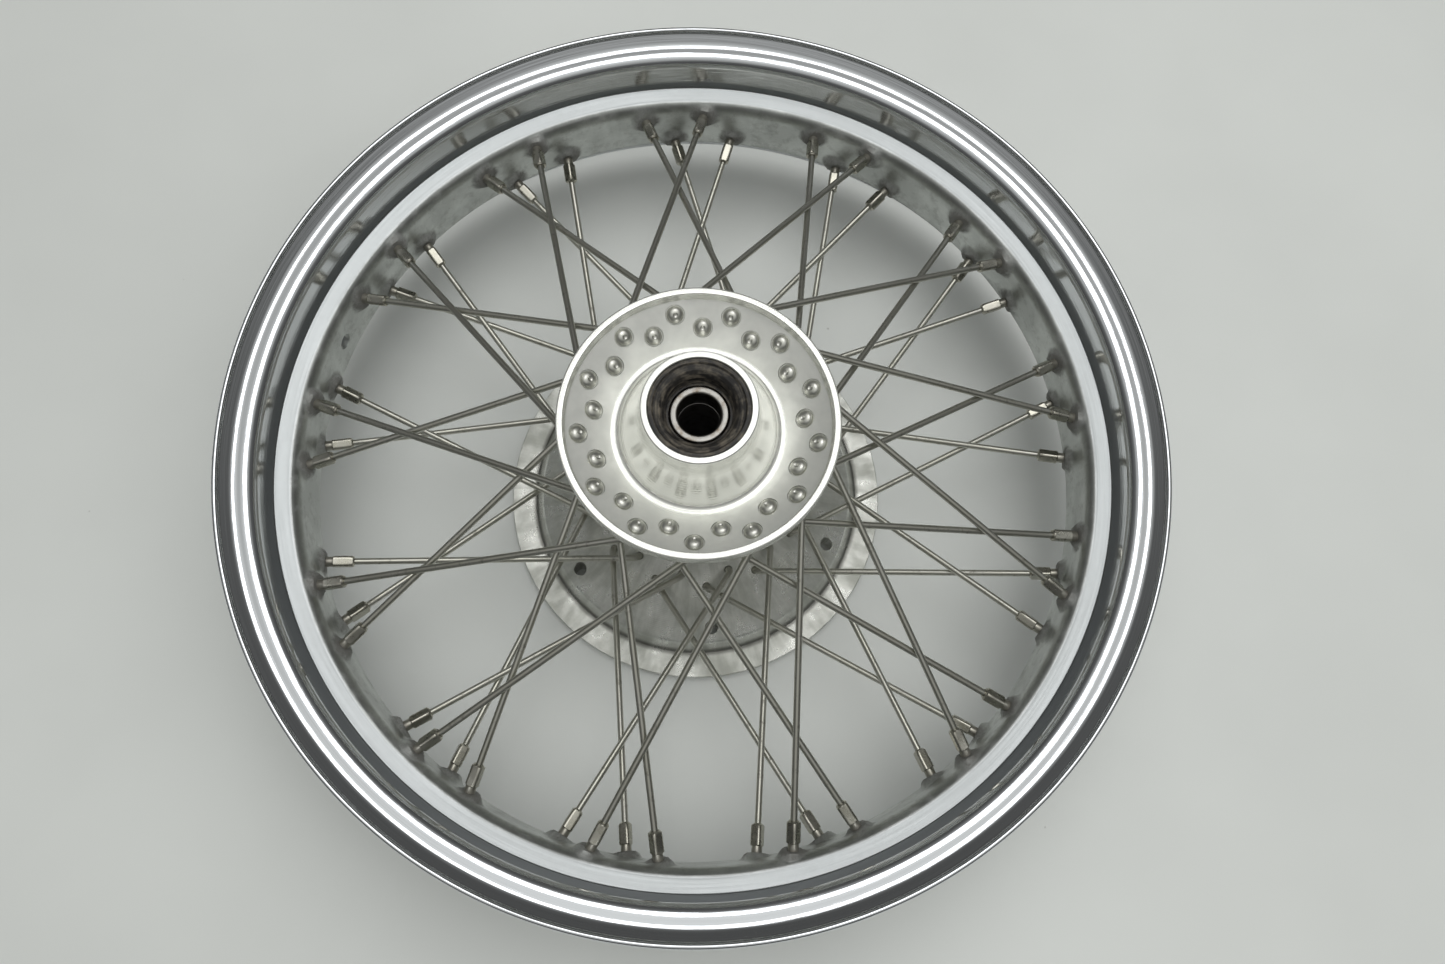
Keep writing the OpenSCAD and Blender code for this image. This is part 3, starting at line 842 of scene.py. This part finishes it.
def turned_hub(s):
    """The hub's outline turned about the axle in 312 columns, twelve to each spoke head. Rows on the
    flanges are spaced so that ten rows by ten columns frame each spoke hole."""
    edge, disc_r = s.flange_radius / MM, s.disc_flange_radius / MM
    face_r = np.linspace(45.0, 62.0, 17)
    back_r = np.linspace(63.0, 49.6, 19)
    bolt_r = np.linspace(75.5, 86.5, 11)
    parts, start = [], {}

    def run(name, points):
        start[name] = sum(len(p) for p in parts)
        parts.append(np.array(points, float))

    def surface(side, r, height):
        return np.stack([r, side * height(side, r)], -1)

    run("nose", rounded([(23.5, 84, 0), (23.5, 87, 0.5), (26.8, 87, 0.6), (26.8, 85, 0)], 3)[:-1])
    run("bell", bell(UP, NOSE[UP] - 17))
    run("face", surface(UP, face_r, flange_face))
    lip = rounded([
        (62.0, flange_face(UP, 62.0), 0), (edge - 3.9, flange_face(UP, edge - 3.9), 0.3),
        (edge - 3.3, flange_face(UP, edge) + 3, 0.6), (edge, flange_face(UP, edge) + 3, 0.7),
        (edge, flange_back(UP, edge) + 0.6, 1.2), (63.0, flange_back(UP, 63.0), 0)], 4)  # fmt: skip
    run("lip", lip[1:-1])
    run("back", surface(UP, back_r, flange_back))
    run("barrel", rounded([
        (49.6, flange_back(UP, 49.6), 0), (33, flange_back(UP, 33), 7), (31, flange_back(UP, 31) - 6, 5),
        (31, 0, 0)], 6)[1:])  # fmt: skip
    run("cone_foot", rounded([(31, 0, 0), (31, -flange_back(DOWN, 31), 9),
                              (49.6, -flange_back(DOWN, 49.6), 0)], 9)[1:-1])  # fmt: skip
    run("cone", surface(DOWN, back_r[::-1], flange_back))
    run("cone_bolts", surface(DOWN, bolt_r, flange_back))
    rim = [(86.5, -flange_back(DOWN, 86.5), 0), (88.6, -flange_back(DOWN, 88.6), 5),
           (92.9, GROOVE_Z, 1.5), (disc_r, GROOVE_Z, 0.5), (disc_r, GROOVE_Z - 3, 0.5),
           (94.3, GROOVE_Z - 3, 0.8), (93.5, SEAT_Z, 0.5), (86.5, SEAT_Z, 0)]  # fmt: skip
    run("rim", rounded(rim, 5)[1:-1])
    run("seat", np.stack([bolt_r[::-1], np.full(11, SEAT_Z)], -1))
    run("dish_wall", rounded([(75.5, SEAT_Z, 0), (70.5, SEAT_Z, 0.6), (68.8, -flange_face(DOWN, 67.5), 2),
                              (62.0, -flange_face(DOWN, 62.0), 0)], 4)[1:-1])  # fmt: skip
    run("dish", surface(DOWN, face_r[::-1], flange_face))
    run("low_bell", (bell(DOWN, NOSE[DOWN] - 11) * [1, -1])[::-1])
    run("low_nose", rounded([(26.8, -70.3, 0), (26.8, -72.3, 0.6), (23.5, -72.3, 0.5),
                             (23.5, -69.3, 0)], 3)[1:])  # fmt: skip
    run("bore", [(23.5, -47.8), (20.5, -47.8), (20.5, -43.8), (24.5, -38.8), (24.5, 53.5),
                 (20.5, 58.5), (20.5, 62.5), (23.5, 62.5)])  # fmt: skip
    outline = np.concatenate(parts)
    cols = 312
    first = FIRST_GROUP - LEAN * PITCH
    a = first + np.linspace(0, 2 * math.pi, cols, endpoint=False)
    shell = Shell(polar(outline[:, :1], a[None], outline[:, 1:]))
    step = 2 * math.pi / cols
    for side, face, back in ((UP, "face", "back"), (DOWN, "dish", "cone")):
        for ring in (0, 1):
            head, away, _, _, _ = lacing(side, ring)
            # rows run outwards on one side of a flange and inwards on the other
            low_face = {(UP, 0): 0, (UP, 1): 6, (DOWN, 0): 6, (DOWN, 1): 0}[side, ring]
            low_back = {(UP, 0): 8, (UP, 1): 0, (DOWN, 0): 0, (DOWN, 1): 8}[side, ring]
            for centre, axis in zip(head, away):
                middle = int(round((math.atan2(centre[1], centre[0]) - first) / step))
                near, behind = start[face] + low_face, start[back] + low_back
                hole = shell.opening(near, near + 10, middle - 5, middle + 5)
                exit_ = shell.opening(behind, behind + 10, middle - 5, middle + 5)
                over = lambda p, f=flange_face: p[:, 2] - side * f(side, np.hypot(p[:, 0], p[:, 1]))
                under = lambda p, f=flange_back: p[:, 2] - side * f(side, np.hypot(p[:, 0], p[:, 1]))
                sunk = [(4.85, None), (4.7, 0.22), (4.7, 0.95), (4.55, 1.0), (2.2, 1.0), (2.05, 1.2)]
                drilled = [(2.3, None), (2.05, 0.3)]
                inner = shell.bore(hole, centre, axis, sunk, over)
                outer = shell.bore(exit_, centre + axis * FLANGE_T, -axis, drilled, under)
                shell.join(inner, outer)
    bolt = s.disc_hole / MM / 2
    top = lambda p: p[:, 2] + flange_back(DOWN, np.hypot(p[:, 0], p[:, 1]))
    bottom = lambda p: p[:, 2] - SEAT_Z
    for k in range(6):
        turn = BOLT_TURN + math.radians(60 * k)
        middle = int(round((turn - first) / step))
        high = shell.opening(start["cone_bolts"], start["cone_bolts"] + 10, middle - 4, middle + 4)
        low = shell.opening(start["seat"], start["seat"] + 10, middle - 4, middle + 4)
        centre = polar(BOLT_R, turn, 0.0)
        down, up = np.array([0, 0, -1.0]), np.array([0, 0, 1.0])
        cone = centre - up * flange_back(DOWN, BOLT_R)
        upper = shell.bore(high, cone, down, [(bolt + 0.5, None), (bolt, 0.7)], top)
        lower = shell.bore(low, centre + up * SEAT_Z, up, [(bolt + 0.5, None), (bolt, 0.5)], bottom)
        shell.join(upper, lower)
    return shell.finish()


class WHEEL_OT_bearings(bpy.types.Operator):
    """Fits the dust seals, bearing rings and distance collar, and finishes the parts inside"""

    bl_idname = "wheel.bearings"
    bl_label = "Bearings and seals"

    def execute(self, context):
        f = finishes()
        steel = ground_steel("ground_steel", tuple(f.steel), 0.16)
        worn = ground_steel("worn_steel", (0.36, 0.35, 0.33), 0.26, 0.95)
        pressed = ground_steel("pressed_steel", (0.45, 0.45, 0.46), 0.3)
        collar = ground_steel("collar_steel", (0.50, 0.49, 0.48), 0.3, 0.5)
        rubber = seal_rubber(f)
        brass = ground_steel("cage_brass", (0.60, 0.47, 0.24), 0.25)
        ball = ground_steel("ball_steel", (0.72, 0.73, 0.75), 0.05, 0.05)
        for side in (UP, DOWN):
            name = SIDE_NAME[side]
            nose, middle = NOSE[side] - 0.8, BEARING_Z[side]
            turned_part(f"{name}_dust_seal", SEAL_LIP, side, nose, rubber,
                        f"{name}_seal_rubber")  # fmt: skip
            turned_part(f"{name}_seal_shell", SEAL_SHELL, side, nose, pressed,
                        f"{name}_seal_case")  # fmt: skip
            turned_part(f"{name}_outer_ring", OUTER_RING, side, middle, steel,
                        f"{name}_bearing_outer_race")  # fmt: skip
            turned_part(f"{name}_inner_ring", INNER_RING, side, middle, worn,
                        f"{name}_bearing_inner_race", body="axle_core")  # fmt: skip
            for where, low in (("outer", 5.7), ("inner", -6.5)):
                ring = [(14.15, low, 0.1), (19.85, low, 0.1), (19.85, low + 0.8, 0.2), (18.6, low + 0.8, 0.3),
                        (18.2, low + 0.6, 0.3), (15.6, low + 0.6, 0.3), (15.3, low + 0.8, 0.3),
                        (14.15, low + 0.8, 0.2)]  # fmt: skip
                turned_part(f"{name}_{where}_cover", ring, side, middle, rubber,
                            f"{name}_bearing_{where}_shield")  # fmt: skip
            plain = (("bearing_balls", ball), ("bearing_cage", brass), ("seal_spring", pressed))
            for node, material in plain:
                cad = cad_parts[f"{name}_{node}"]
                cad.data.materials.clear()
                cad.data.materials.append(material)
        long = [(10.0, -47.8, 0.2), (13.2, -47.8, 0.5), (13.2, 62.5, 0.5), (10.0, 62.5, 0.2)]
        turned_part("spacer_tube", long, UP, 0.0, collar,
                    "distance_collar", body="axle_core")  # fmt: skip
        return {"FINISHED"}


SEAL_LIP = [(23.48, -1.4, 0.1), (23.48, 0, 0.5), (21.6, 0, 0.4), (20.9, -0.9, 0.4), (18.4, -1.6, 1.4),
            (16.9, -2.9, 1.2), (15.7, -5.2, 0.3), (16.4, -6.0, 0.2), (17.6, -4.3, 0.5), (18.6, -3.1, 0.6),
            (21.6, -2.6, 0.1), (21.6, -1.4, 0.1)]  # fmt: skip
SEAL_SHELL = [(23.48, -1.42, 0.1), (23.48, -8.2, 0.6), (18.6, -8.2, 0.2), (18.6, -7.3, 0.2),
              (22.4, -7.3, 0.3), (22.4, -1.42, 0.1)]  # fmt: skip
OUTER_RING = [(19.9, -7, 0.3), (23.48, -7, 0.8), (23.48, 7, 0.8), (19.9, 7, 0.3), (19.9, 3.1, 0.1),
              (20.55, 2.0, 1.2), (21.0, 0, 2.5), (20.55, -2.0, 1.2), (19.9, -3.1, 0.1)]  # fmt: skip
INNER_RING = [(10.0, -7, 1.1), (13.6, -7, 0.7), (13.6, -3.1, 0.1), (12.95, -2.0, 1.2), (12.5, 0, 2.5),
              (12.95, 2.0, 1.2), (13.6, 3.1, 0.1), (13.6, 7, 0.7), (10.0, 7, 1.1)]  # fmt: skip


def turned_part(name, corners, side, height, material, node, body="wheel"):
    """A ring with rounded corners, turned about the axle and set at its height on one side."""
    half = ((corners[0][0] + corners[-1][0]) / 2, (corners[0][1] + corners[-1][1]) / 2, 0)
    path = rounded([half] + corners + [half], 4)[:-1]
    path = path[np.linalg.norm(np.diff(np.vstack([path, path[:1]]), axis=0), axis=1) > 1e-4]
    points, quads = lathe((path + [0, height]) * [1, side], 160)
    return make(name, points, quads, body, [node], material, crease=45)


class WHEEL_OT_stage(bpy.types.Operator):
    """Lays the pale floor and sets the soft lights and the camera"""

    bl_idname = "wheel.stage"
    bl_label = "Floor, lights and camera"

    def execute(self, context):
        scene = context.scene
        span = np.linspace(-6.0, 6.0, 9)
        x, y = np.meshgrid(span, span)
        mesh = bpy.data.meshes.new("floor")
        points = np.stack([x, y, np.full_like(x, FLOOR_Z)], -1).reshape(-1, 3)
        i = (np.arange(8)[:, None] * 9 + np.arange(8)).ravel()
        mesh.from_pydata(points.tolist(), [], np.stack([i, i + 1, i + 10, i + 9], -1).tolist())
        mesh.materials.append(pale_floor(finishes()))
        floor = bpy.data.objects.new("floor", mesh)
        scene.collection.objects.link(floor)
        self.lamp("softbox", (0.14, 0.58, 1.95), (0, 0, 0), 0.95, 5.0)
        fill = self.lamp("fill", (0.5, 0.0, 2.3), (0, 0, 0), 3.4, 47.0)
        fill.visible_glossy = False
        world = bpy.data.worlds.new("studio")
        scene.world = world
        world.use_nodes = True
        tree = world.node_tree
        where = tree.nodes.new("ShaderNodeTexCoord")
        parts = tree.nodes.new("ShaderNodeSeparateXYZ")
        shade = tree.nodes.new("ShaderNodeValToRGB")
        tree.links.new(where.outputs["Generated"], parts.inputs[0])
        tree.links.new(parts.outputs[2], shade.inputs[0])
        stops = shade.color_ramp.elements
        stops[0].position, stops[0].color = 0.0, (0.08, 0.08, 0.075, 1)
        stops[1].position, stops[1].color = 1.0, (0.80, 0.81, 0.79, 1)
        for position, tone in ((0.30, 0.07), (0.56, 0.10), (0.68, 0.17), (0.80, 0.40), (0.89, 0.46)):
            stops.new(position).color = (tone, tone * 1.01, tone * 0.98, 1)
        tree.links.new(shade.outputs[0], tree.nodes["Background"].inputs[0])
        tree.nodes["Background"].inputs[1].default_value = 1.0
        lens = bpy.data.cameras.new("camera")
        lens.sensor_width, lens.lens = 36.0, 26.26
        lens.clip_start = 0.01
        camera = bpy.data.objects.new("camera", lens)
        scene.collection.objects.link(camera)
        camera.location = CAMERA_PLACE
        camera.rotation_euler = CAMERA_TURN
        scene.camera = camera
        scene.view_settings.view_transform = "Standard"
        return {"FINISHED"}

    def lamp(self, name, place, target, size, power):
        light = bpy.data.lights.new(name, "AREA")
        light.size, light.energy = size, power
        obj = bpy.data.objects.new(name, light)
        bpy.context.scene.collection.objects.link(obj)
        obj.location = place
        aim = np.array(place) - np.array(target)
        flat = math.hypot(aim[0], aim[1])
        obj.rotation_euler = (math.atan2(flat, aim[2]), 0, math.atan2(aim[0], -aim[1]))
        return obj


class WHEEL_PT_panel(bpy.types.Panel):
    """Lists the wheel's pieces, sizes and colours"""

    bl_idname = "WHEEL_PT_panel"
    bl_label = "Laced wheel"
    bl_space_type = "VIEW_3D"
    bl_region_type = "UI"
    bl_category = "Wheel"

    def draw(self, context):
        for group in (context.scene.wheel_sizes, context.scene.wheel_finish):
            column = self.layout.column()
            for key in group.bl_rna.properties.keys():
                if key not in ("rna_type", "name"):
                    column.prop(group, key)
        for operator in OPERATORS:
            self.layout.operator(operator.bl_idname)


OPERATORS = (
    WHEEL_OT_rim, WHEEL_OT_spokes, WHEEL_OT_nipples, WHEEL_OT_hub, WHEEL_OT_bearings, WHEEL_OT_stage
)  # fmt: skip
CLASSES = (WheelSizes, WheelFinish, *OPERATORS, WHEEL_PT_panel)


def register():
    for cls in CLASSES:
        bpy.utils.register_class(cls)
    bpy.types.Scene.wheel_sizes = bpy.props.PointerProperty(type=WheelSizes)
    bpy.types.Scene.wheel_finish = bpy.props.PointerProperty(type=WheelFinish)


def unregister():
    del bpy.types.Scene.wheel_finish
    del bpy.types.Scene.wheel_sizes
    for cls in reversed(CLASSES):
        bpy.utils.unregister_class(cls)


def main():
    register()
    bpy.ops.wheel.rim()
    bpy.ops.wheel.spokes()
    bpy.ops.wheel.nipples()
    bpy.ops.wheel.hub()
    bpy.ops.wheel.bearings()
    bpy.ops.wheel.stage()


if __name__ == "__main__":
    main()
